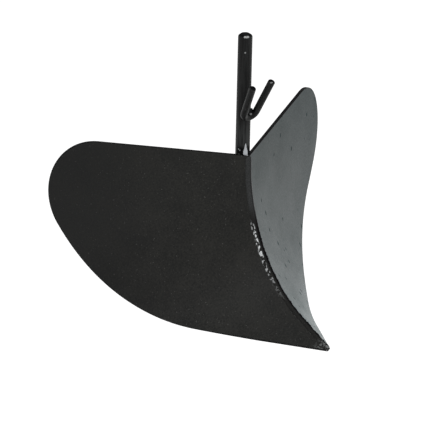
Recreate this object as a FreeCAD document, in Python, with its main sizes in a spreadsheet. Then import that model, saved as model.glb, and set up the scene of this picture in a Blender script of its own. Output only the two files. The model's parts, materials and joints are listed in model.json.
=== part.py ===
import FreeCAD, Part
import math
import os
import Sketcher

# A small ridging plough for a garden tiller: two rolled steel wings that meet in a V, the round
# shank they hang from, and a two-armed guide fork on the front of the shank.
# Frame: origin at the centre of the shank's top face, +Z up, the point forward at -Y,
# the plough's left wing on +X. Millimetres and degrees.

Vector = FreeCAD.Vector
doc = FreeCAD.newDocument("ridging_plough")

# ---- driving dimensions -------------------------------------------------------------------

SIZES = {
    "sheet_thickness": 4.0,       # plate of both wings
    "roll_radius": 203.0,         # front face of the rolled plate
    "roll_angle": 54.0,           # how far the sheet is rolled
    "top_flat_length": 130.0,     # unrolled stretch behind the start of the roll
    "point_flat_length": 90.0,    # unrolled stretch past its end, towards the point
    "roll_sweep": 31.6,           # roll axis, turned back from straight sideways
    "roll_drop": 26.7,            # roll axis, dropping below the horizontal
    "top_edge_angle": 28.0,       # top edge against the roll axis
    "top_edge_length": 158.3,     # straight stretch of the top edge
    "corner_radius": 55.0,        # upper rear corner of the wing
    "tail_radius": 216.0,         # long curve of the trailing edge
    "bottom_edge_angle": 37.8,    # bottom edge against the roll axis
    "point_depth": 235.3,         # point below the top corner, square to the roll axis
    "point_blunt": 7.0,           # taken off the very tip
    "shank_diameter": 16.0,
    "shank_rise": 138.8,          # shank's top above the top corner of the wings
    "shank_foot": 65.2,           # shank inside the V, below that corner
    "shank_chamfer": 3.0,         # taken off the top edge's radius
    "shank_chamfer_depth": 2.2,
    "shank_let_in": 1.6,          # how far the shank is let into the wings' inner faces
    "fork_diameter": 8.0,
    "fork_bend_radius": 8.5,      # centre line of the round bend between the two arms
    "fork_drop": 94.6,            # lowest point of that centre line below the shank's top
    "fork_let_in": 3.5,           # how far the bend is let into the front of the shank
    "fork_lean": 27.2,            # arms against the vertical, seen from the side
    "fork_splay": 5.7,            # each arm against the middle of the fork
    "left_arm_length": 44.4,      # straight stretch, from the bend to the end
    "right_arm_length": 40.8,
    "fork_chamfer": 0.8,
    "fork_weld_width": 12.0,
    "fork_weld_height": 11.0,
    "fork_weld_thickness": 7.0,
    "fork_weld_rise": 5.7,        # weld's centre above the bend's lowest point
    "fork_weld_sink": 0.8,        # weld's centre inside the shank's surface
    "seam_bead_diameter": 7.0,
    "seam_bead_inset": 2.4,       # bead's centre below the wings' front faces
    "shank_bead_diameter": 6.4,
    "shank_bead_length": 32.0,
    "shank_bead_top_gap": 3.0,    # bead starts this far below the top corner
}

sheet = doc.addObject("Spreadsheet::Sheet", "sizes")
for row, (name, value) in enumerate(SIZES.items(), start=1):
    sheet.set(f"A{row}", name)
    sheet.set(f"B{row}", str(value))
    sheet.setAlias(f"B{row}", name)
doc.recompute()


def size(name):
    return float(sheet.get(name))


def sine(name):
    return math.sin(math.radians(size(name)))


def cosine(name):
    return math.cos(math.radians(size(name)))


# ---- helpers ------------------------------------------------------------------------------

def new_body(name, placement=FreeCAD.Placement()):
    body = doc.addObject("PartDesign::Body", name)
    body.Placement = placement
    return body


def new_sketch(body, role, name):
    """A sketch on one of the body's own origin planes."""
    plane = next(f for f in body.Origin.OriginFeatures if f.Role == role)
    sketch = body.newObject("Sketcher::SketchObject", name)
    sketch.AttachmentSupport = (plane, [""])
    sketch.MapMode = "FlatFace"
    return sketch


def bind(sketch, formula, kind, *args):
    """A dimension of a sketch that follows the sheet's cells."""
    index = sketch.addConstraint(Sketcher.Constraint(kind, *args))
    sketch.setExpression(f"Constraints[{index}]", formula)


def join(sketch, kind, first, second):
    """The end of one edge meets the start of the next."""
    sketch.addConstraint(Sketcher.Constraint(kind, first, 2, second, 1))


def segment(start, end):
    return Part.LineSegment(Vector(*start, 0), Vector(*end, 0))


def tool_cut(name, base, tool):
    cut = doc.addObject("Part::Cut", name)
    cut.Base = base
    cut.Tool = tool
    return cut


def shared(name, *solids):
    common = doc.addObject("Part::MultiCommon", name)
    common.Shapes = solids
    return common


def mirrored(name, source):
    """The same on the other side of the centre plane."""
    twin = doc.addObject("Part::Mirroring", name)
    twin.Source = source
    twin.Normal = Vector(1, 0, 0)
    return twin


# ---- frame of the rolled plate ------------------------------------------------------------
# The left wing is part of a cylinder. Its axis direction runs out, back and down. The body's
# Z is that axis, its Y lies in the plough's centre plane, and its origin is the wings' top
# corner, where the top edges meet the seam.

REACH = 420.0     # how far the sheet and the tools that trim it run past the wing
MARGIN = 60.0     # how far the blank runs past the seam, where the centre plane trims it

roll_axis = Vector(
    cosine("roll_drop") * cosine("roll_sweep"),
    cosine("roll_drop") * sine("roll_sweep"),
    -sine("roll_drop"),
)
climb = Vector(1, 0, 0).cross(roll_axis).normalize()
depth = climb.cross(roll_axis)

thickness = size("sheet_thickness")
shank_radius = size("shank_diameter") / 2
wedge = cosine("roll_sweep")      # sine of half the angle between the wings, at the top
corner_to_shank = (thickness + shank_radius - size("shank_let_in")) / wedge
top_corner = Vector(0, -corner_to_shank, -size("shank_rise"))
roll_frame = FreeCAD.Placement(top_corner, FreeCAD.Rotation(depth, climb, roll_axis, "ZYX"))

# Across the roll, the flat stretch rises along the vertical's projection.
rise = Vector(depth.z, climb.z, 0).normalize()
inward = Vector(rise.y, -rise.x, 0)
roll_centre = inward * -size("roll_radius")
start_spin = math.atan2(inward.y, inward.x)
end_spin = start_spin - math.radians(size("roll_angle"))
rolled_way = size("roll_radius") * (start_spin - end_spin)


def roll_point(below, way):
    """Point of the roll's section, below the front face, some way down it from the top corner."""
    rolled = min(way, rolled_way)
    spin = start_spin - rolled / size("roll_radius")
    outward = Vector(math.cos(spin), math.sin(spin), 0)
    onward = Vector(outward.y, -outward.x, 0)
    return roll_centre + outward * (size("roll_radius") + below) + onward * (way - rolled)


def way_down(drop):
    """How far down the front face the section has come down by a drop."""
    end = roll_point(0, rolled_way)
    if -drop < end.y:
        return rolled_way + (end.y + drop) / math.cos(end_spin)
    return size("roll_radius") * (start_spin - math.asin((-drop - roll_centre.y) / size("roll_radius")))


def seam_along(section):
    """Where the centre plane crosses a section point's line, measured along the roll axis."""
    return -section.x * depth.x / roll_axis.x


def seam_point(below, way):
    """Point of the centre plane, below the wings' front faces."""
    section = roll_point(below, way)
    return roll_frame.multVec(Vector(section.x, section.y, seam_along(section)))


# The plough's point, where the bottom edges meet the seam.
point_way = way_down(size("point_depth"))
point_along = seam_along(roll_point(0, point_way))

# ---- front face ---------------------------------------------------------------------------
# The front of the rolled plate, drawn across the roll axis and run along it: flat, rolled, then
# flat again.

front_line = doc.addObject("Sketcher::SketchObject", "front_line")
front_line.Placement = roll_frame
roll_circle = Part.Circle(roll_centre, Vector(0, 0, 1), size("roll_radius"))
roll_end = roll_point(0, rolled_way)
front_line.addGeometry([
    Part.LineSegment(rise * size("top_flat_length"), Vector(0, 0, 0)),
    Part.ArcOfCircle(roll_circle, end_spin, start_spin),
    Part.LineSegment(roll_end, roll_point(0, rolled_way + size("point_flat_length"))),
], False)
front_line.addConstraint([
    Sketcher.Constraint("Tangent", 0, 2, 1, 2),
    Sketcher.Constraint("Tangent", 1, 1, 2, 1),
    Sketcher.Constraint("Coincident", 0, 2, -1, 1),
    Sketcher.Constraint("Angle", 0, math.atan2(-rise.y, -rise.x)),
    Sketcher.Constraint("Angle", 2, end_spin - math.pi / 2),
])
bind(front_line, "sizes.top_flat_length", "Distance", 0, size("top_flat_length"))
bind(front_line, "sizes.point_flat_length", "Distance", 2, size("point_flat_length"))
bind(front_line, "sizes.roll_radius", "Radius", 1, size("roll_radius"))

front_face = doc.addObject("Part::Extrusion", "front_face")
front_face.Base = front_line
front_face.DirMode = "Normal"
front_face.LengthFwd = REACH
front_face.LengthRev = REACH
front_face.Solid = False

# ---- blank --------------------------------------------------------------------------------
# The outline of the front face, seen square to the roll axis: straight top edge, rear corner,
# long trailing curve and straight bottom edge down to the point. In this sketch X is the climb
# and Y runs along the roll axis.

top_way = Vector(sine("top_edge_angle"), cosine("top_edge_angle"), 0)
bottom_way = Vector(-sine("bottom_edge_angle"), -cosine("bottom_edge_angle"), 0)
top_end = top_way * size("top_edge_length")
point = Vector(-size("point_depth"), point_along, 0)

corner_centre = top_end + Vector(-top_way.y, top_way.x, 0) * size("corner_radius")
tail_side = point + Vector(-bottom_way.y, bottom_way.x, 0) * size("tail_radius") - corner_centre
radius_step = size("tail_radius") - size("corner_radius")
shift = tail_side.dot(bottom_way)
back_off = shift - math.sqrt(shift**2 - tail_side.Length**2 + radius_step**2)
bottom_start = point - bottom_way * back_off
tail_centre = corner_centre + tail_side - bottom_way * back_off
tail_start = tail_centre + (corner_centre - tail_centre).normalize() * size("tail_radius")


def arc_between(centre, start, end):
    """Counter-clockwise arc about a centre."""
    first, last = start - centre, end - centre
    circle = Part.Circle(centre, Vector(0, 0, 1), first.Length)
    return Part.ArcOfCircle(circle, math.atan2(first.y, first.x), math.atan2(last.y, last.x))


wing_blank = new_body("wing_blank", roll_frame)
outline = new_sketch(wing_blank, "YZ_Plane", "wing_outline")
outline.addGeometry([
    Part.LineSegment(top_way * -MARGIN, top_end),
    arc_between(corner_centre, top_end, tail_start),
    arc_between(tail_centre, tail_start, bottom_start),
    Part.LineSegment(bottom_start, point + bottom_way * MARGIN),
    Part.LineSegment(point + bottom_way * MARGIN, top_way * -MARGIN),
], False)
outline.addGeometry(Part.Point(point), True)
outline.addConstraint([
    Sketcher.Constraint("Tangent", 0, 2, 1, 1),
    Sketcher.Constraint("Tangent", 1, 2, 2, 1),
    Sketcher.Constraint("Tangent", 2, 2, 3, 1),
    Sketcher.Constraint("Coincident", 3, 2, 4, 1),
    Sketcher.Constraint("Coincident", 4, 2, 0, 1),
    Sketcher.Constraint("PointOnObject", -1, 1, 0),
    Sketcher.Constraint("Angle", 0, math.atan2(top_way.y, top_way.x)),
    Sketcher.Constraint("Angle", 3, math.atan2(bottom_way.y, bottom_way.x)),
    Sketcher.Constraint("Distance", 0, 1, -1, 1, MARGIN),
    Sketcher.Constraint("Distance", 3, 2, 5, 1, MARGIN),
    Sketcher.Constraint("DistanceY", -1, 1, 5, 1, point_along),
    Sketcher.Constraint("PointOnObject", 5, 1, 3),
])
bind(outline, "sizes.top_edge_length", "Distance", 0, 2, -1, 1, size("top_edge_length"))
bind(outline, "sizes.corner_radius", "Radius", 1, size("corner_radius"))
bind(outline, "sizes.tail_radius", "Radius", 2, size("tail_radius"))
bind(outline, "sizes.point_depth", "DistanceX", 5, 1, -1, 1, size("point_depth"))

blank_depth = wing_blank.newObject("PartDesign::Pad", "blank_depth")
blank_depth.Profile = outline
blank_depth.Midplane = True
blank_depth.Length = 2 * REACH

# ---- shank --------------------------------------------------------------------------------
# Round bar, turned from its section, with a chamfered top.

shank = new_body("shank")
turning = new_sketch(shank, "XZ_Plane", "shank_section")
total = size("shank_rise") + size("shank_foot")
corners = [
    (0, 0),
    (shank_radius - size("shank_chamfer"), 0),
    (shank_radius, -size("shank_chamfer_depth")),
    (shank_radius, -total),
    (0, -total),
]
turning.addGeometry([segment(a, b) for a, b in zip(corners, corners[1:] + corners[:1])], False)
for edge in range(5):
    join(turning, "Coincident", edge, (edge + 1) % 5)
turning.addConstraint([
    Sketcher.Constraint("Coincident", 0, 1, -1, 1),
    Sketcher.Constraint("Horizontal", 0),
    Sketcher.Constraint("Vertical", 2),
    Sketcher.Constraint("Horizontal", 3),
    Sketcher.Constraint("Vertical", 4),
])
bind(turning, "sizes.shank_diameter / 2", "Distance", 3, shank_radius)
bind(turning, "sizes.shank_chamfer_depth", "DistanceY", 1, 2, 1, 1, size("shank_chamfer_depth"))
bind(turning, "sizes.shank_chamfer", "DistanceX", 1, 1, 1, 2, size("shank_chamfer"))
bind(turning, "sizes.shank_rise + sizes.shank_foot", "Distance", 4, total)

shank_turn = shank.newObject("PartDesign::Revolution", "shank_turn")
shank_turn.Profile = turning
shank_turn.ReferenceAxis = (turning, ["V_Axis"])
shank_turn.Angle = 360
doc.recompute()

# ---- point --------------------------------------------------------------------------------
# The tip of the V is ground off square. This block holds what is taken away.

tip = seam_point(0, point_way)
ground_off = doc.addObject("Part::Box", "ground_off")
ground_off.Length = 2 * MARGIN
ground_off.Width = MARGIN
ground_off.Height = 2 * MARGIN
ground_off.Placement.Base = tip + Vector(-MARGIN, size("point_blunt") - MARGIN, -MARGIN)

# ---- seam weld ----------------------------------------------------------------------------
# A bead down the corner of the wings, its centre line just below their front faces. It runs
# past the point and is trimmed flush with the bottom edges of both wings.

bead_end = point_way + size("seam_bead_diameter")
stations = [bead_end * step / 12 for step in range(13)]
seam_line = Part.BSplineCurve()
seam_line.interpolate([seam_point(size("seam_bead_inset"), way) for way in stations])
bead_path = Part.Wire([arc.toShape() for arc in seam_line.toBiArcs(0.05)])
bead_start = seam_line.StartPoint
bead_way = seam_line.tangent(seam_line.FirstParameter)[0]
bead_circle = Part.Wire(Part.makeCircle(size("seam_bead_diameter") / 2, bead_start, bead_way))

seam_bead = doc.addObject("Part::Feature", "seam_bead")
seam_bead.Shape = bead_path.makePipeShell([bead_circle], True, False)
right_blank = mirrored("right_blank", wing_blank)
flush_bead = shared("flush_bead", seam_bead, wing_blank, right_blank)
blunt_bead = tool_cut("blunt_bead", flush_bead, ground_off)
seam_weld = tool_cut("seam_weld", blunt_bead, shank)

# ---- wings --------------------------------------------------------------------------------
# The blank trims the front face, and the plate is its thickness behind that, with every edge
# cut square. The centre plane trims its seam edge, and the shank and the bead are let into it.
# The right wing mirrors the left.

wing_front = shared("wing_front", front_face, wing_blank)
wing_plate = doc.addObject("Part::Offset", "wing_plate")
wing_plate.Source = wing_front
wing_plate.setExpression("Value", "sizes.sheet_thickness")
wing_plate.Fill = True
blunt_plate = tool_cut("blunt_plate", wing_plate, ground_off)

right_side = doc.addObject("Part::Box", "right_side")
right_side.Length = REACH
right_side.Width = 2 * REACH
right_side.Height = 2 * REACH
right_side.Placement.Base = Vector(-REACH, -REACH, -1.5 * REACH)

left_half = tool_cut("left_half", blunt_plate, right_side)
left_seated = tool_cut("left_seated", left_half, shank)
left_wing = tool_cut("left_wing", left_seated, seam_weld)
right_wing = mirrored("right_wing", left_wing)

# ---- shank welds --------------------------------------------------------------------------
# Upright beads inside the V, in the crevice between the shank and each wing's back face.

bead_radius = size("shank_bead_diameter") / 2
face_way = Vector(wedge, sine("roll_sweep"), 0)           # along the back face, outwards
face_normal = Vector(-sine("roll_sweep"), wedge, 0)       # off the back face
bead_seat = face_way * shank_radius + face_normal * (
    bead_radius / 3 - (shank_radius - size("shank_let_in"))
)
shank_bead = doc.addObject("Part::Cylinder", "shank_bead")
shank_bead.setExpression("Radius", "sizes.shank_bead_diameter / 2")
shank_bead.setExpression("Height", "sizes.shank_bead_length")
bead_drop = size("shank_rise") + size("shank_bead_top_gap") + size("shank_bead_length")
shank_bead.Placement.Base = bead_seat + Vector(0, 0, -bead_drop)
left_bead_fitted = tool_cut("left_bead_fitted", shank_bead, shank)
left_shank_weld = tool_cut("left_shank_weld", left_bead_fitted, left_wing)
right_shank_weld = mirrored("right_shank_weld", left_shank_weld)

# ---- guide fork ---------------------------------------------------------------------------
# One thin rod on the front of the shank, bent round into two arms that lean forward. In its
# own frame the fork opens along Y, with the middle of the bend at the origin.

splay = math.radians(size("fork_splay"))
bend_radius = size("fork_bend_radius")
fork_ahead = shank_radius + size("fork_diameter") / 2 - size("fork_let_in")
fork_seat = Vector(0, -fork_ahead, -size("fork_drop"))
fork_rod = new_body(
    "fork_rod", FreeCAD.Placement(fork_seat, FreeCAD.Rotation(Vector(1, 0, 0), 90 + size("fork_lean")))
)
fork_section = new_sketch(fork_rod, "YZ_Plane", "fork_section")
fork_section.addGeometry(
    Part.Circle(Vector(0, 0, 0), Vector(0, 0, 1), size("fork_diameter") / 2), False
)
fork_section.addConstraint(Sketcher.Constraint("Coincident", 0, 3, -1, 1))
bind(fork_section, "sizes.fork_diameter", "Diameter", 0, size("fork_diameter"))


def arm_end(side, length):
    """Middle of an arm's end in the fork's own frame; side is 1 for the left, -1 for the right."""
    across = bend_radius * math.cos(splay) + size(length) * math.sin(splay)
    along = bend_radius * (1 - math.sin(splay)) + size(length) * math.cos(splay)
    return Vector(side * across, along, 0)


def fork_arm(name, side, length):
    """Half of the bend and one arm."""
    path = new_sketch(fork_rod, "XY_Plane", f"{name}_path")
    circle = Part.Circle(Vector(0, bend_radius, 0), Vector(0, 0, 1), bend_radius)
    bottom = -math.pi / 2
    spins = {1: (bottom, -splay), -1: (math.pi + splay, 2 * math.pi + bottom)}[side]
    inner, outer = {1: (1, 2), -1: (2, 1)}[side]
    bend = Part.ArcOfCircle(circle, *spins)
    bend_end = {1: bend.EndPoint, -1: bend.StartPoint}[side]
    path.addGeometry([bend, Part.LineSegment(bend_end, arm_end(side, length))], False)
    path.addConstraint([
        Sketcher.Constraint("Coincident", 0, inner, -1, 1),
        Sketcher.Constraint("PointOnObject", 0, 3, -2),
        Sketcher.Constraint("Tangent", 0, outer, 1, 1),
        Sketcher.Constraint("Angle", 1, math.pi / 2 - side * splay),
    ])
    bind(path, "sizes.fork_bend_radius", "Radius", 0, bend_radius)
    bind(path, f"sizes.{length}", "Distance", 1, size(length))
    pipe = fork_rod.newObject("PartDesign::AdditivePipe", name)
    pipe.Profile = fork_section
    pipe.Spine = (path, ["Edge1", "Edge2"])
    doc.recompute()
    return pipe


fork_arm("left_arm", 1, "left_arm_length")
both_arms = fork_arm("right_arm", -1, "right_arm_length")
ends = [arm_end(1, "left_arm_length"), arm_end(-1, "right_arm_length")]
rims = [
    f"Edge{number}"
    for number, edge in enumerate(both_arms.Shape.Edges, start=1)
    if isinstance(edge.Curve, Part.Circle)
    and min((edge.Curve.Center - end).Length for end in ends) < 0.01
]
fork_chamfer = fork_rod.newObject("PartDesign::Chamfer", "fork_chamfer")
fork_chamfer.Base = (both_arms, rims)
fork_chamfer.setExpression("Size", "sizes.fork_chamfer")
guide_fork = tool_cut("guide_fork", fork_rod, shank)

# ---- fork weld ----------------------------------------------------------------------------
# A rounded weld in the crotch of the fork, against the front of the shank.

fork_blob = doc.addObject("Part::Ellipsoid", "fork_blob")
fork_blob.setExpression("Radius1", "sizes.fork_weld_height / 2")
fork_blob.setExpression("Radius2", "sizes.fork_weld_thickness / 2")
fork_blob.setExpression("Radius3", "sizes.fork_weld_width / 2")
blob_seat = Vector(
    0, size("fork_weld_sink") - shank_radius, size("fork_weld_rise") - size("fork_drop")
)
fork_blob.Placement = FreeCAD.Placement(blob_seat, FreeCAD.Rotation(Vector(0, 0, 1), 90))
blob_on_shank = tool_cut("blob_on_shank", fork_blob, shank)
fork_weld = tool_cut("fork_weld", blob_on_shank, guide_fork)

# ---- check and write ----------------------------------------------------------------------

PIECES = [
    left_wing, right_wing, shank, guide_fork,
    seam_weld, left_shank_weld, right_shank_weld, fork_weld,
]

doc.recompute()
for item in doc.Objects:
    if "Invalid" in item.State or "Error" in item.State:
        raise RuntimeError(f"{item.Name} failed: {item.State}")

os.makedirs("parts", exist_ok=True)
for piece in PIECES:
    piece.Label = piece.Name
    shape = piece.Shape
    if shape.isNull() or not shape.isValid():
        raise RuntimeError(f"{piece.Label} has no valid shape")
    print(piece.Label, len(shape.Solids), "solids", round(shape.Volume), "mm3", shape.BoundBox)
    shape.exportStep(f"parts/{piece.Label}.step")
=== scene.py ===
import json
import math
import random

import bpy
from mathutils import Euler, Matrix, Vector

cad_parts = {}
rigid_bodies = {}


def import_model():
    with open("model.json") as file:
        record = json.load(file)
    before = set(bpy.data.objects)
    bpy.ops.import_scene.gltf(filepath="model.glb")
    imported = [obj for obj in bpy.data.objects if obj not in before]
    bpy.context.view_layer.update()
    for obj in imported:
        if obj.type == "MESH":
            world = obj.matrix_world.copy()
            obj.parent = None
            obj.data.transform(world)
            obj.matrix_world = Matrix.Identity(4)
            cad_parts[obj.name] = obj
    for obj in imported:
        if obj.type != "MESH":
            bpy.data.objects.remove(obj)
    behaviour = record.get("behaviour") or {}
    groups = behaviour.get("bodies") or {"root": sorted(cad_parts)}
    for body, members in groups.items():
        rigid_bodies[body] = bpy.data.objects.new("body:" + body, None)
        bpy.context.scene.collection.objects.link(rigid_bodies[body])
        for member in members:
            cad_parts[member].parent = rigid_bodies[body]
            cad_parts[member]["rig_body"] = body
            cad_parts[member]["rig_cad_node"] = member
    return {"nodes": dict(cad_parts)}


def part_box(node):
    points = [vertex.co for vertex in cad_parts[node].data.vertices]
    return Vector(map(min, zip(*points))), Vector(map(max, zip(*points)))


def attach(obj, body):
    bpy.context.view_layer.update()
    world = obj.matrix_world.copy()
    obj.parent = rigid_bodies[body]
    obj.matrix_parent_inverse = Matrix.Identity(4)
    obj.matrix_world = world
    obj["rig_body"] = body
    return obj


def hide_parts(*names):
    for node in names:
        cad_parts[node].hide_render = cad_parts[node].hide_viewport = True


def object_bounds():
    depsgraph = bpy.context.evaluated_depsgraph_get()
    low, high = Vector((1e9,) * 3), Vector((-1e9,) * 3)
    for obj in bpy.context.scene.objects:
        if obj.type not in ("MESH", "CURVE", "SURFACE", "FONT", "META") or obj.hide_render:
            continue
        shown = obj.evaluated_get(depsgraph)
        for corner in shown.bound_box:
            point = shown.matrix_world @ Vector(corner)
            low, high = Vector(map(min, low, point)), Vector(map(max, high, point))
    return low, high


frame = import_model()
cad_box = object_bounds()
bpy.ops.object.select_all(action="DESELECT")

# ---------------------------------------------------------------------------
# Camera: a long lens, looking down a little at the plough from in front and
# from its right hand side, and leaning over by a degree and a half.
# ---------------------------------------------------------------------------
camera_turn = math.radians(-38.8)
camera_dip = math.radians(20.0)
camera_lean = math.radians(1.4)
camera_distance = 2.0
shank_top_across = 0.0299
shank_top_up = 0.2014
camera_axes = Euler((math.pi / 2 - camera_dip, 0, camera_turn)).to_matrix()
camera_axes = camera_axes @ Matrix.Rotation(camera_lean, 3, "Z")
aim = -camera_axes.col[0] * shank_top_across - camera_axes.col[1] * shank_top_up
eye = aim + camera_axes.col[2] * camera_distance
lens = bpy.data.cameras.new("camera")
lens.type = "ORTHO"
lens.ortho_scale = 0.4761
lens.clip_end = 30
camera = bpy.data.objects.new("camera", lens)
camera.matrix_world = Matrix.Translation(eye) @ camera_axes.to_4x4()
bpy.context.scene.collection.objects.link(camera)
bpy.context.scene.camera = camera
bpy.context.scene.view_settings.view_transform = "Standard"

# ---------------------------------------------------------------------------
# Room: a white studio. The plough hangs by its shank over a plain pale floor,
# under one soft lamp above and a wide, weak one at its other side.
# ---------------------------------------------------------------------------


def feed(tree, value, place):
    """Sets a number or a colour on a socket, or links another node's output to it."""
    if isinstance(value, bpy.types.NodeSocket):
        tree.links.new(value, place)
    elif isinstance(value, tuple):
        place.default_value = (*value, 1)
    else:
        place.default_value = value


def maths(tree, kind, first, second):
    node = tree.nodes.new("ShaderNodeMath")
    node.operation = kind
    feed(tree, first, node.inputs[0])
    feed(tree, second, node.inputs[1])
    return node.outputs[0]


def background_rays(tree):
    """1 where the room is looked at, directly or in a gloss, and 0 where it lights the plough."""
    path = tree.nodes.new("ShaderNodeLightPath")
    looked_at = maths(tree, "MAXIMUM", path.outputs["Is Camera Ray"], path.outputs["Is Glossy Ray"])
    return maths(tree, "MAXIMUM", looked_at, path.outputs["Is Transmission Ray"])


room_light = 0.72
white = 1.0
world = bpy.data.worlds.new("studio")
bpy.context.scene.world = world
world.use_nodes = True
tree = world.node_tree
tree.nodes.clear()
strength = tree.nodes.new("ShaderNodeMapRange")
strength.inputs["To Min"].default_value = room_light
strength.inputs["To Max"].default_value = white
feed(tree, background_rays(tree), strength.inputs["Value"])
sky = tree.nodes.new("ShaderNodeBackground")
feed(tree, (1, 1, 1), sky.inputs["Color"])
feed(tree, strength.outputs[0], sky.inputs["Strength"])
world_out = tree.nodes.new("ShaderNodeOutputWorld")
feed(tree, sky.outputs[0], world_out.inputs["Surface"])

floor_drop = 0.20
floor_width = 16
floor_glow = 0.5
bpy.ops.mesh.primitive_plane_add(size=floor_width, location=(0, 0, cad_box[0].z - floor_drop))
floor = bpy.context.object
floor.name = "floor"
floor_paint = bpy.data.materials.new("pale floor")
floor_paint.use_nodes = True
tree = floor_paint.node_tree
tree.nodes.clear()
matt = tree.nodes.new("ShaderNodeBsdfDiffuse")
feed(tree, (0.8, 0.8, 0.8), matt.inputs["Color"])
glow = tree.nodes.new("ShaderNodeEmission")
feed(tree, maths(tree, "MULTIPLY", background_rays(tree), floor_glow), glow.inputs["Strength"])
both = tree.nodes.new("ShaderNodeAddShader")
feed(tree, matt.outputs[0], both.inputs[0])
feed(tree, glow.outputs[0], both.inputs[1])
floor_out = tree.nodes.new("ShaderNodeOutputMaterial")
feed(tree, both.outputs[0], floor_out.inputs["Surface"])
floor.data.materials.append(floor_paint)


def lamp(name, direction, distance, size, power):
    """A round soft lamp that shines on the middle of the plough from a direction."""
    light = bpy.data.lights.new(name, "AREA")
    light.shape = "DISK"
    light.size = size
    light.energy = power
    lamp_object = bpy.data.objects.new(name, light)
    way = Vector(direction).normalized()
    lamp_object.location = (cad_box[0] + cad_box[1]) / 2 + way * distance
    lamp_object.rotation_euler = way.to_track_quat("Z", "Y").to_euler()
    bpy.context.scene.collection.objects.link(lamp_object)


lamp("key lamp", (-0.45, -0.40, 0.80), distance=1.6, size=0.35, power=4.0)
lamp("side lamp", (0.75, -0.55, 0.35), distance=2.2, size=1.2, power=6.0)

# ---------------------------------------------------------------------------
# Wings: two 4 mm steel plates, cut to shape, rolled, and joined along the
# seam at the nose. They are blasted and powder coated satin black.
# ---------------------------------------------------------------------------


def new_group(name, inputs, outputs):
    group = bpy.data.node_groups.new(name, "ShaderNodeTree")
    for label, kind, value in inputs:
        made = group.interface.new_socket(name=label, in_out="INPUT", socket_type=kind)
        if value is not None:
            made.default_value = value
    for label, kind in outputs:
        group.interface.new_socket(name=label, in_out="OUTPUT", socket_type=kind)
    entry = group.nodes.new("NodeGroupInput")
    leave = group.nodes.new("NodeGroupOutput")
    return group, entry.outputs, leave.inputs


def noise(tree, vector, scale, detail=2.0, roughness=0.5):
    node = tree.nodes.new("ShaderNodeTexNoise")
    node.inputs["Detail"].default_value = detail
    node.inputs["Roughness"].default_value = roughness
    feed(tree, scale, node.inputs["Scale"])
    feed(tree, vector, node.inputs["Vector"])
    return node.outputs["Fac"]


def between(tree, value, low, high, to_low=0.0, to_high=1.0):
    """Eases from to_low to to_high while the value goes from low to high."""
    node = tree.nodes.new("ShaderNodeMapRange")
    node.interpolation_type = "SMOOTHSTEP"
    feed(tree, low, node.inputs["From Min"])
    feed(tree, high, node.inputs["From Max"])
    feed(tree, to_low, node.inputs["To Min"])
    feed(tree, to_high, node.inputs["To Max"])
    feed(tree, value, node.inputs["Value"])
    return node.outputs[0]


def blend_colours(tree, share, first, second):
    node = tree.nodes.new("ShaderNodeMix")
    node.data_type = "RGBA"
    feed(tree, share, node.inputs["Factor"])
    for name, value in (("A", first), ("B", second)):
        feed(tree, value, [s for s in node.inputs if s.name == name and s.type == "RGBA"][0])
    return [s for s in node.outputs if s.type == "RGBA"][0]


def axes_of(tree, vector):
    node = tree.nodes.new("ShaderNodeSeparateXYZ")
    feed(tree, vector, node.inputs[0])
    return node.outputs


def distance_from(tree, vector, spot):
    node = tree.nodes.new("ShaderNodeVectorMath")
    node.operation = "DISTANCE"
    feed(tree, vector, node.inputs[0])
    node.inputs[1].default_value = spot
    return node.outputs["Value"]


def scaled(tree, vector, scale):
    node = tree.nodes.new("ShaderNodeMapping")
    node.inputs["Scale"].default_value = scale
    feed(tree, vector, node.inputs["Vector"])
    return node.outputs[0]


# Powder coat: a slightly uneven film with a fine orange peel and pale specks.
powder, powder_in, powder_out = new_group(
    "powder coat",
    [
        ("Vector", "NodeSocketVector", None),
        ("Dark", "NodeSocketColor", (0.009, 0.009, 0.0085, 1)),
        ("Pale", "NodeSocketColor", (0.020, 0.020, 0.019, 1)),
        ("Speck", "NodeSocketColor", (0.05, 0.05, 0.048, 1)),
        ("Grain", "NodeSocketFloat", 900.0),
        ("Satin", "NodeSocketFloat", 0.36),
    ],
    [
        ("Color", "NodeSocketColor"),
        ("Roughness", "NodeSocketFloat"),
        ("Height", "NodeSocketFloat"),
    ],
)
cloud = noise(powder, powder_in["Vector"], 28.0, detail=4.0, roughness=0.55)
peel = noise(powder, powder_in["Vector"], powder_in["Grain"], detail=3.0, roughness=0.6)
speck = noise(powder, powder_in["Vector"], 620.0, detail=1.0)
cloud_share = maths(powder, "MULTIPLY", cloud, 0.35)
peel_share = maths(powder, "MULTIPLY", peel, 0.65)
tint = maths(powder, "ADD", cloud_share, peel_share)
film = blend_colours(powder, between(powder, tint, 0.35, 0.65), powder_in["Dark"], powder_in["Pale"])
specked = blend_colours(powder, between(powder, speck, 0.70, 0.77), film, powder_in["Speck"])
feed(powder, specked, powder_out["Color"])
uneven = maths(powder, "MULTIPLY", maths(powder, "SUBTRACT", tint, 0.5), 0.6)
feed(powder, maths(powder, "ADD", uneven, powder_in["Satin"]), powder_out["Roughness"])
feed(powder, peel, powder_out["Height"])

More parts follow.
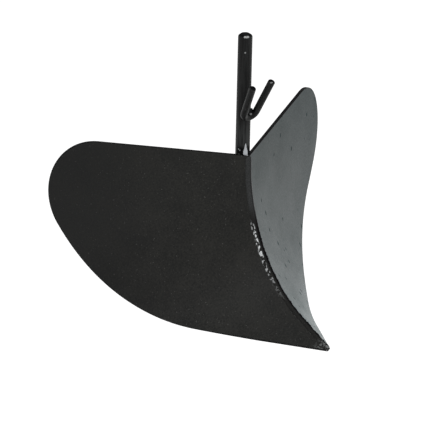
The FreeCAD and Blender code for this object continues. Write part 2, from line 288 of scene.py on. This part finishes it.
# Pits: small dents left in the plate, a little drawn out downwards.
pits, pits_in, pits_out = new_group(
    "pits",
    [("Vector", "NodeSocketVector", None), ("Share", "NodeSocketFloat", 0.13)],
    [("Pit", "NodeSocketFloat")],
)
cells = pits.nodes.new("ShaderNodeTexVoronoi")
cells.inputs["Scale"].default_value = 75.0
cells.inputs["Randomness"].default_value = 1.0
feed(pits, scaled(pits, pits_in["Vector"], (1.0, 1.0, 0.55)), cells.inputs["Vector"])
drawn_lot = pits.nodes.new("ShaderNodeSeparateColor")
feed(pits, cells.outputs["Color"], drawn_lot.inputs[0])
has_pit = maths(pits, "LESS_THAN", drawn_lot.outputs[0], pits_in["Share"])
dent = between(pits, cells.outputs["Distance"], 0.08, 0.14, 1.0, 0.0)
feed(pits, maths(pits, "MULTIPLY", dent, has_pit), pits_out["Pit"])

# Edge wear: where a corner of the steel stands proud, the film is thin and rubbed.
wear, wear_in, wear_out = new_group(
    "edge wear",
    [("Vector", "NodeSocketVector", None), ("Width", "NodeSocketFloat", 0.0008)],
    [("Wear", "NodeSocketFloat")],
)
rounded = wear.nodes.new("ShaderNodeBevel")
rounded.samples = 4
feed(wear, wear_in["Width"], rounded.inputs["Radius"])
surface = wear.nodes.new("ShaderNodeNewGeometry")
turned = wear.nodes.new("ShaderNodeVectorMath")
turned.operation = "DOT_PRODUCT"
feed(wear, rounded.outputs[0], turned.inputs[0])
feed(wear, surface.outputs["Normal"], turned.inputs[1])
edge = between(wear, turned.outputs["Value"], 0.90, 0.99, 1.0, 0.0)
patchy = between(wear, noise(wear, wear_in["Vector"], 160.0, detail=3.0), 0.42, 0.62)
feed(wear, maths(wear, "MULTIPLY", edge, patchy), wear_out["Wear"])

# Seam glints: painted highlights, flecks of light grey in a band down the right side of the
# nose, standing in for the glints of light that the rippled weld catches there.
seam_glints, seam_glints_in, seam_glints_out = new_group(
    "seam glints",
    [("Vector", "NodeSocketVector", None)],
    [("Glint", "NodeSocketFloat")],
)
long_flecks = noise(
    seam_glints, scaled(seam_glints, seam_glints_in["Vector"], (1.0, 0.6, 0.45)), 560.0, detail=3.0
)
fleck = between(seam_glints, long_flecks, 0.50, 0.58)
nose = axes_of(seam_glints, seam_glints_in["Vector"])
# The band fades out at its top, its bottom, its inner side and its outer side.
for axis, none_here, all_here in (
    ("Z", -0.208, -0.220),
    ("Z", -0.290, -0.236),
    ("X", -0.0018, -0.0028),
    ("X", -0.0052, -0.0038),
):
    fleck = maths(seam_glints, "MULTIPLY", fleck, between(seam_glints, nose[axis], none_here, all_here))
feed(seam_glints, fleck, seam_glints_out["Glint"])

# Worn point: the film is scuffed away in patches round the tip of the plough.
scuffs, scuffs_in, scuffs_out = new_group(
    "worn point",
    [("Vector", "NodeSocketVector", None), ("Film", "NodeSocketFloat", 0.48)],
    [("Wear", "NodeSocketFloat")],
)
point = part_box("seam_weld")[0]
from_point = distance_from(scuffs, scuffs_in["Vector"], (0, point.y, point.z))
scuffed = between(
    scuffs, noise(scuffs, scuffs_in["Vector"], 420.0, detail=3.0), scuffs_in["Film"], 0.60
)
near_point = between(scuffs, from_point, 0.005, 0.020, 0.9, 0.0)
feed(scuffs, maths(scuffs, "MULTIPLY", near_point, scuffed), scuffs_out["Wear"])


def new_finish(name, ior):
    material = bpy.data.materials.new(name)
    material.use_nodes = True
    shader = material.node_tree.nodes["Principled BSDF"]
    shader.inputs["IOR"].default_value = ior
    place = material.node_tree.nodes.new("ShaderNodeTexCoord")
    place.name = "place"
    return material, material.node_tree, shader.inputs, place.outputs


def place_group(material, group, **values):
    tree = material.node_tree
    node = tree.nodes.new("ShaderNodeGroup")
    node.node_tree = group
    for name, value in values.items():
        feed(tree, value, node.inputs[name])
    feed(tree, tree.nodes["place"].outputs["Object"], node.inputs["Vector"])
    return node.outputs


def bump(tree, height, strength, shader):
    node = tree.nodes.new("ShaderNodeBump")
    node.inputs["Strength"].default_value = strength
    node.inputs["Distance"].default_value = 0.0002
    feed(tree, height, node.inputs["Height"])
    feed(tree, node.outputs[0], shader["Normal"])


# The face of the plates: an open grain, darker towards the outer
# corners, more polished by soil towards the point.
# The light grey that paints the glints on the nose.
glint_colour = (0.72, 0.74, 0.75)
plate, tree, shader, place = new_finish("powder coated plate", ior=1.275)
shader["Sheen Weight"].default_value = 0.17
shader["Sheen Roughness"].default_value = 0.35
shader["Sheen Tint"].default_value = (0.52, 0.95, 1.0, 1)
coat = place_group(
    plate,
    powder,
    Dark=(0.0026, 0.0028, 0.0022),
    Pale=(0.0146, 0.0142, 0.0122),
    Speck=(0.070, 0.070, 0.066),
    Grain=520.0,
)
spot = axes_of(tree, place["Object"])
facing = axes_of(tree, place["Normal"])
outer_face = between(tree, facing["Y"], -0.02, -0.10)
left_face = maths(tree, "MULTIPLY", between(tree, spot["X"], 0.004, 0.010), outer_face)
outwards = between(tree, maths(tree, "ABSOLUTE", spot["X"], 0.0), 0.05, 0.17, 0.0, 0.65)
# The colour is darker towards the outer corners.
outer_darkened = blend_colours(tree, outwards, coat["Color"], (0.0020, 0.0020, 0.0020))
edge_rub = maths(tree, "MULTIPLY", place_group(plate, wear)["Wear"], 0.3)
worn = maths(tree, "MAXIMUM", edge_rub, place_group(plate, scuffs, Film=0.48)["Wear"])
rubbed = blend_colours(tree, worn, outer_darkened, (0.19, 0.20, 0.20))
# Painted highlights: glints in a band along the nose side of the plate.
glinted = maths(tree, "MULTIPLY", place_group(plate, seam_glints)["Glint"], outer_face)
feed(tree, blend_colours(tree, glinted, rubbed, glint_colour), shader["Base Color"])
pitted = maths(tree, "MULTIPLY", place_group(plate, pits, Share=0.9)["Pit"], left_face)
unpolished = maths(
    tree,
    "ADD",
    between(tree, spot["Z"], -0.215, -0.125, -0.01, 0.10),
    between(tree, spot["Z"], -0.325, -0.290, -0.07, 0.02),
)
dull = maths(tree, "ADD", maths(tree, "MULTIPLY", pitted, 0.8), unpolished)
feed(tree, maths(tree, "ADD", coat["Roughness"], dull), shader["Roughness"])
peeled = maths(tree, "SUBTRACT", coat["Height"], maths(tree, "MULTIPLY", pitted, 2.0))
bump(tree, peeled, 0.4, shader)

# The cut edges of the plates, where the coat is thin, dark and dull.
cut_edge, tree, shader, place = new_finish("powder coated cut edge", ior=1.07)
coat = place_group(
    cut_edge,
    powder,
    Dark=(0.002, 0.002, 0.002),
    Pale=(0.006, 0.006, 0.006),
    Satin=0.45,
)
edge_rub = maths(tree, "MULTIPLY", place_group(cut_edge, wear)["Wear"], 0.3)
feed(tree, blend_colours(tree, edge_rub, coat["Color"], (0.08, 0.08, 0.08)), shader["Base Color"])
feed(tree, coat["Roughness"], shader["Roughness"])
bump(tree, coat["Height"], 0.3, shader)


def only(piece):
    bpy.ops.object.select_all(action="DESELECT")
    piece.select_set(True)
    bpy.context.view_layer.objects.active = piece


def finished(piece, node):
    only(piece)
    bpy.ops.object.transform_apply(location=True, rotation=True, scale=True)
    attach(piece, "root")
    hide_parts(node)


def rounded_copy(node, name, radius, finish, clear_of_seam=0.0):
    """A copy of a CAD node, its sharp corners rounded and its flats kept flat."""
    sharp = math.radians(40)
    flat = math.radians(0.6)
    only(frame["nodes"][node])
    bpy.ops.object.duplicate()
    piece = bpy.context.object
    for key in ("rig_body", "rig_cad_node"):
        if key in piece:
            del piece[key]
    piece.parent = None
    piece.name = name
    piece.data.name = name
    only(piece)
    bpy.ops.object.mode_set(mode="EDIT")
    bpy.ops.mesh.select_all(action="SELECT")
    bpy.ops.mesh.customdata_custom_splitnormals_clear()
    bpy.ops.mesh.remove_doubles(threshold=0.00004)
    bpy.ops.mesh.dissolve_limited(angle_limit=flat)
    bpy.ops.mesh.select_all(action="DESELECT")
    bpy.ops.mesh.select_mode(type="EDGE")
    bpy.ops.mesh.edges_select_sharp(sharpness=sharp)
    bpy.ops.object.mode_set(mode="OBJECT")
    corners = []
    for edge in piece.data.edges:
        from_seam = max(abs(piece.data.vertices[v].co.x) for v in edge.vertices)
        if edge.select and from_seam > clear_of_seam:
            corners.append(edge.index)
    bpy.ops.object.mode_set(mode="EDIT")
    bpy.ops.mesh.select_all(action="DESELECT")
    bpy.ops.object.mode_set(mode="OBJECT")
    for index in corners:
        piece.data.edges[index].select = True
    bpy.ops.object.mode_set(mode="EDIT")
    bpy.ops.mesh.bevel(offset=radius, segments=2, affect="EDGES", clamp_overlap=False)
    bpy.ops.mesh.select_all(action="SELECT")
    bpy.ops.mesh.remove_doubles(threshold=0.00002)
    bpy.ops.object.mode_set(mode="OBJECT")
    bpy.ops.object.shade_smooth()
    flats = piece.modifiers.new("flats", "WEIGHTED_NORMAL")
    flats.mode = "FACE_AREA"
    flats.weight = 50
    bpy.ops.object.modifier_apply(modifier="flats")
    piece.data.materials.clear()
    piece.data.materials.append(finish)
    return piece


def rolled_face(wing, in_front):
    """The numbers of the faces that make up one whole side of a rolled plate."""
    same_side = [face for face in wing.data.polygons if (face.normal.y < 0) == in_front]
    start = max(same_side, key=lambda face: face.area).index
    bpy.ops.object.mode_set(mode="EDIT")
    bpy.ops.mesh.select_all(action="DESELECT")
    bpy.ops.object.mode_set(mode="OBJECT")
    wing.data.polygons[start].select = True
    bpy.ops.object.mode_set(mode="EDIT")
    bpy.ops.mesh.select_mode(type="FACE")
    bpy.ops.mesh.faces_select_linked_flat(sharpness=math.radians(14))
    bpy.ops.object.mode_set(mode="OBJECT")
    return {face.index for face in wing.data.polygons if face.select}


for side in ("left_wing", "right_wing"):
    wing = rounded_copy(side, side + "_plate", 0.00035, plate, clear_of_seam=0.005)
    wing.data.materials.append(cut_edge)
    only(wing)
    broad_faces = rolled_face(wing, in_front=True) | rolled_face(wing, in_front=False)
    for face in wing.data.polygons:
        face.material_index = 0 if face.index in broad_faces else 1
    finished(wing, side)

# ---------------------------------------------------------------------------
# Shank: a 16 mm round steel bar, turned to a chamfer at its top end. The same
# coat has faint marks along it from the drawing of the bar.
# ---------------------------------------------------------------------------
bar, tree, shader, place = new_finish("powder coated bar", ior=1.20)
coat = place_group(
    bar,
    powder,
    Dark=(0.002, 0.002, 0.002),
    Pale=(0.007, 0.007, 0.007),
    Grain=1100.0,
    Satin=0.42,
)
spot = axes_of(tree, place["Object"])
facing = axes_of(tree, place["Normal"])
streak = noise(tree, scaled(tree, place["Object"], (1, 1, 0.04)), 700.0)
below_fork = between(tree, spot["Z"], -0.09, -0.12, 0.3, 1.0)
drawing_marks = maths(tree, "MULTIPLY", between(tree, streak, 0.38, 0.66), below_fork)
lined = blend_colours(tree, drawing_marks, coat["Color"], (0.034, 0.036, 0.036))
# Painted shade: faces turned upwards, at the top of the bar and the ends of the fork, are painted near
# black, as if they reflected a dark room above, and are made duller.
upturned_faces = between(tree, facing["Z"], 0.70, 0.76)
# Painted shadow: the front of the bar's foot, just above the wings, is painted near black where the
# wings shade it.
painted_shadow_foot = maths(
    tree,
    "MULTIPLY",
    between(tree, spot["Z"], -0.1265, -0.1320),
    between(tree, spot["Y"], 0.0010, -0.0020),
)
# Both painted shades darken the colour here and dull the finish below.
painted_dark_part = maths(tree, "MAXIMUM", upturned_faces, painted_shadow_foot)
darkened = blend_colours(tree, painted_dark_part, lined, (0.0012, 0.0012, 0.0014))

# Light marks, each with its middle, how far it reaches and how light it is:
# three side by side on the chamfer, a painted highlight, one rubbed mark below them, two at the foot
# of the bar.
marks = []
for around, radius, height, reach, lightness in (
    (228.5, 0.00694, -0.0017, 0.0017, 0.9),
    (242.7, 0.00698, -0.0016, 0.0018, 0.9),
    (256.8, 0.00699, -0.0015, 0.0017, 0.9),
    (234.1, 0.00802, -0.0195, 0.0013, 0.6),
    (197.5, 0.00797, -0.1319, 0.0010, 0.6),
    (208.5, 0.00797, -0.1330, 0.0010, 0.5),
):
    angle = math.radians(around)
    middle = (radius * math.cos(angle), radius * math.sin(angle), height)
    marks.append((middle, reach, lightness))
# Painted highlights: one in the bend of the fork, two faint ones at the root of
# its right arm, and two that meet on the end of its left arm.
fork_bend = Vector((0.0018, -0.0106, -0.0907))
right_arm_root = Vector((-0.0056, -0.0141, -0.0904))
up_the_arm = Vector((-0.0010, -0.0009, 0.0014))
left_arm_end = Vector((0.0104, -0.0337, -0.0493))
across_the_end = Vector((0.0016, -0.0002, 0.0002))
marks.append((fork_bend, 0.0018, 1.0))
marks.append((right_arm_root, 0.0040, 0.10))
marks.append((right_arm_root + up_the_arm, 0.0030, 0.08))
marks.append((left_arm_end, 0.0012, 0.5))
marks.append((left_arm_end + across_the_end, 0.0012, 0.5))

scratchy = between(tree, noise(tree, place["Object"], 900.0), 0.30, 0.50)
# Edge wear, made bright enough to be partly a painted highlight on the rims of the chamfer and the
# fork ends.
rubbed = maths(tree, "MULTIPLY", place_group(bar, wear)["Wear"], 0.6)
for middle, reach, lightness in marks:
    off = distance_from(tree, place["Object"], middle)
    grazed = between(tree, off, reach * 0.5, reach, lightness, 0.0)
    rubbed = maths(tree, "MAXIMUM", rubbed, maths(tree, "MULTIPLY", grazed, scratchy))
# The painted highlights and the rubbed marks go into the colour here.
feed(tree, blend_colours(tree, rubbed, darkened, (0.44, 0.45, 0.45)), shader["Base Color"])
dull = maths(tree, "MULTIPLY", painted_dark_part, 0.6)
feed(tree, maths(tree, "ADD", coat["Roughness"], dull), shader["Roughness"])
bump(tree, maths(tree, "ADD", coat["Height"], streak), 0.25, shader)
shank_bar = rounded_copy("shank", "shank_bar", 0.0010, bar)
finished(shank_bar, "shank")

# ---------------------------------------------------------------------------
# Guide fork: one 8 mm round rod bent double, its bend welded to the front of
# the shank and its two open ends pointing up and forward.
# ---------------------------------------------------------------------------
fork = rounded_copy("guide_fork", "guide_fork_rod", 0.0002, bar)
finished(fork, "guide_fork")

# ---------------------------------------------------------------------------
# Seam weld: one long bead laid down the nose, from the front of the shank to
# the point, smooth at its top and in overlapping ripples further down, where
# its right side was ground and carries painted glints. A drop of it ran out on the shank, and its
# light grey is a painted highlight.
# ---------------------------------------------------------------------------
drop_middle = (-0.0026, -0.0082, -0.1364)
weld, tree, shader, place = new_finish("coated weld", ior=1.13)
coat = place_group(
    weld,
    powder,
    Dark=(0.0015, 0.0015, 0.0015),
    Pale=(0.006, 0.006, 0.006),
    Grain=700.0,
    Satin=0.20,
)
spot = axes_of(tree, place["Object"])
rippled = between(tree, spot["Z"], -0.188, -0.220)
smooth = maths(tree, "SUBTRACT", 1.0, rippled)
right_half = between(tree, spot["X"], 0.0006, -0.0004)
ground_side = maths(tree, "MULTIPLY", between(tree, spot["X"], 0.0002, -0.0014), rippled)
left_side = maths(tree, "MULTIPLY", between(tree, spot["X"], -0.0008, 0.0012), rippled)
film = blend_colours(tree, rippled, (0.022, 0.023, 0.024), (0.0012, 0.0012, 0.0012))
film = blend_colours(tree, maths(tree, "MULTIPLY", right_half, smooth), film, (0.048, 0.050, 0.050))
film_share = between(tree, coat["Height"], 0.3, 0.7, 0.0, 0.5)
film = blend_colours(tree, film_share, film, coat["Color"])
ground = blend_colours(tree, ground_side, film, (0.0175, 0.0175, 0.0165))
# Painted highlights: glints in a band down the rippled bead.
glinted = blend_colours(tree, place_group(weld, seam_glints)["Glint"], ground, glint_colour)
scuffed = place_group(weld, scuffs, Film=0.46)["Wear"]
worn = blend_colours(tree, scuffed, glinted, (0.21, 0.22, 0.22))
# Painted highlight: the drop on the shank and its neck are coloured light grey, standing in for the
# light that its rounded top catches.
in_drop = between(tree, distance_from(tree, place["Object"], drop_middle), 0.0036, 0.0031)
above_drop = between(tree, spot["Z"], -0.1358, -0.1350)
on_front = between(tree, spot["Y"], -0.0050, -0.0060)
below_fork = between(tree, spot["Z"], -0.1200, -0.1210)
painted_drop_highlight = maths(tree, "MULTIPLY", maths(tree, "MAXIMUM", in_drop, above_drop), on_front)
painted_drop_highlight = maths(tree, "MULTIPLY", painted_drop_highlight, below_fork)
feed(tree, blend_colours(tree, painted_drop_highlight, worn, (0.46, 0.48, 0.50)), shader["Base Color"])
dull = maths(tree, "MULTIPLY", left_side, 0.75)
feed(tree, maths(tree, "ADD", coat["Roughness"], dull), shader["Roughness"])
bump(tree, coat["Height"], 0.3, shader)


def weld_bead(name, node, ripples, tilt, voxel):
    """A bead of tilted ripples, each with its middle, its way and its size, under one skin."""
    lumps = []
    for middle, way, size in ripples:
        bpy.ops.mesh.primitive_uv_sphere_add(segments=14, ring_count=8, radius=1, location=middle)
        lump = bpy.context.object
        lump.rotation_mode = "QUATERNION"
        lump.rotation_quaternion = way.to_track_quat("Z", "X")
        lump.scale = size
        bpy.ops.transform.rotate(
            value=tilt, orient_axis="X", center_override=middle, constraint_axis=(True, False, False)
        )
        lumps.append(lump)
    bpy.ops.object.select_all(action="DESELECT")
    for lump in lumps:
        lump.select_set(True)
    bpy.context.view_layer.objects.active = lumps[0]
    bpy.ops.object.join()
    piece = bpy.context.object
    piece.name = name
    piece.data.name = name
    bpy.ops.object.transform_apply(location=True, rotation=True, scale=True)
    skin = piece.modifiers.new("skin", "REMESH")
    skin.mode = "VOXEL"
    skin.voxel_size = voxel
    bpy.ops.object.modifier_apply(modifier="skin")
    soft = piece.modifiers.new("soft", "SMOOTH")
    soft.factor = 0.5
    soft.iterations = 2
    bpy.ops.object.modifier_apply(modifier="soft")
    bpy.ops.object.shade_smooth()
    piece.data.materials.clear()
    piece.data.materials.append(weld)
    finished(piece, node)


# The line of the bead, from the middle of the CAD weld in slices across it.
seam_mesh = frame["nodes"]["seam_weld"].data
seam_low, seam_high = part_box("seam_weld")
seam_top = Vector((0, seam_high.y, seam_high.z))
seam_end = Vector((0, seam_low.y, seam_low.z))
seam_way = (seam_end - seam_top).normalized()
seam_out = Vector((0, seam_way.z, -seam_way.y))
seam_length = (seam_end - seam_top).length
seam_edges = [[seam_mesh.vertices[v].co - seam_top for v in edge.vertices] for edge in seam_mesh.edges]
slices = 48
first_slice = 0.02
last_slice = 0.98
line = []
for number in range(slices + 1):
    along = seam_length * (first_slice + (last_slice - first_slice) * number / slices)
    outs = []
    for first, second in seam_edges:
        before = first.dot(seam_way) - along
        after = second.dot(seam_way) - along
        if before * after < 0:
            share = before / (before - after)
            outs.append(first.lerp(second, share).dot(seam_out))
    line.append((along, (min(outs) + max(outs)) / 2))

# The ripples, long and even at the top, and short and uneven from where the
# weld gets rough.
random.seed(7)
ripple_step = 0.0023
half_thick = 0.0025
half_wide = 0.0040
smooth_half_long = 0.0064
rough_half_long = 0.0023
rough_from = 0.062
rough_over = 0.020
proud = 0.0004
top_inset = 0.0005
ripples = []
count = int(seam_length / ripple_step)
for number in range(count):
    reach = slices * number / (count - 1)
    slot = min(int(reach), slices - 1)
    share = reach - slot
    along = line[slot][0] * (1 - share) + line[slot + 1][0] * share
    out = line[slot][1] * (1 - share) + line[slot + 1][1] * share
    way = seam_way * (line[slot + 1][0] - line[slot][0])
    way = (way + seam_out * (line[slot + 1][1] - line[slot][1])).normalized()
    rough = min(1.0, max(0.0, (along - rough_from) / rough_over))
    swell = 1 + random.uniform(-0.06, 0.06) * rough
    middle = seam_top + seam_way * along + seam_out * (out + proud)
    middle.x += random.uniform(-0.0004, 0.0003) * rough
    half_long = smooth_half_long - (smooth_half_long - rough_half_long) * rough
    size = (half_thick * swell, half_wide * swell, min(along - top_inset, half_long))
    ripples.append((middle, way, size))

# Two lumps that make the blunt point, and two that join the bead to the drop.
for middle, size in (
    ((0, -0.1528, -0.3176), (0.0030, 0.0040, 0.0028)),
    ((0, -0.1533, -0.3196), (0.0028, 0.0034, 0.0026)),
    ((-0.0015, -0.0086, -0.1387), (0.0010, 0.0010, 0.0013)),
    ((-0.0006, -0.0099, -0.1391), (0.0010, 0.0010, 0.0013)),
):
    ripples.append((Vector(middle), way, size))

# The drop on the front of the shank, which narrows to a neck at its top.
shank_radius = 0.0080
drop_side = Vector((-0.275, -0.961, 0))
drop_way = Vector((0, 0, -1)) + drop_side * 0.05
for height, across, out, down in (
    (-0.1364, 0.0027, 0.0022, 0.0031),
    (-0.1345, 0.0026, 0.0016, 0.0032),
    (-0.1322, 0.0019, 0.0013, 0.0030),
    (-0.1293, 0.0012, 0.0010, 0.0028),
    (-0.1270, 0.0008, 0.0008, 0.0022),
):
    middle = drop_side * shank_radius + Vector((0, 0, height))
    ripples.append((middle, drop_way, (out, across, down)))
weld_bead("seam_weld_bead", "seam_weld", ripples, tilt=math.radians(14), voxel=0.00036)

# ---------------------------------------------------------------------------
# Shank welds: a short bead down each side of the shank inside the V, which
# fills the corner between the bar and the wing and ends in a lump at its top.
# ---------------------------------------------------------------------------
bead_way = Vector((0, -0.05, -1))
bead_end = 0.0020
half_long = 0.0022
last_ripple = 12
for side in ("left_shank_weld", "right_shank_weld"):
    low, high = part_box(side)
    middle = (low + high) / 2
    half = (high - low) / 2
    ripples = []
    for number in range(last_ripple + 1):
        height = high.z - bead_end - (high.z - low.z - 2 * bead_end) * number / last_ripple
        swell = random.uniform(0.90, 1.0)
        size = (half.y * swell, half.x * swell, half_long)
        ripples.append((Vector((middle.x, middle.y, height)), bead_way, size))
    inwards = -1 if middle.x > 0 else 1
    for across, back, up, radius in (
        (0.0018, -0.0022, 0.0005, 0.0024),
        (0.0024, -0.0030, 0.0034, 0.0017),
    ):
        lump = Vector((middle.x + inwards * across, middle.y + back, high.z + up))
        ripples.append((lump, bead_way, (radius, radius, radius)))
    weld_bead(side + "_bead", side, ripples, tilt=math.radians(12), voxel=0.00040)

# ---------------------------------------------------------------------------
# Fork weld: one blob of weld between the bend of the fork and the front of
# the bar, laid in a few short ripples from side to side.
# ---------------------------------------------------------------------------
sideways = Vector((1, 0, 0.02))
half_long = 0.0020
spread = 0.66
fullness = 0.93
taper = 0.6
last_ripple = 6
low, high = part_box("fork_weld")
middle = (low + high) / 2
half = (high - low) / 2
ripples = []
for number in range(last_ripple + 1):
    share = 2 * number / last_ripple - 1
    out = random.uniform(-0.0002, 0.0002)
    up = random.uniform(-0.0005, 0.0005)
    lump = middle + Vector((half.x * spread * share, out, up))
    thick = fullness * math.sqrt(1 - taper * share * share)
    ripples.append((lump, sideways, (half.z * thick, half.y * thick, half_long)))
weld_bead("fork_weld_bead", "fork_weld", ripples, tilt=math.radians(8), voxel=0.00030)
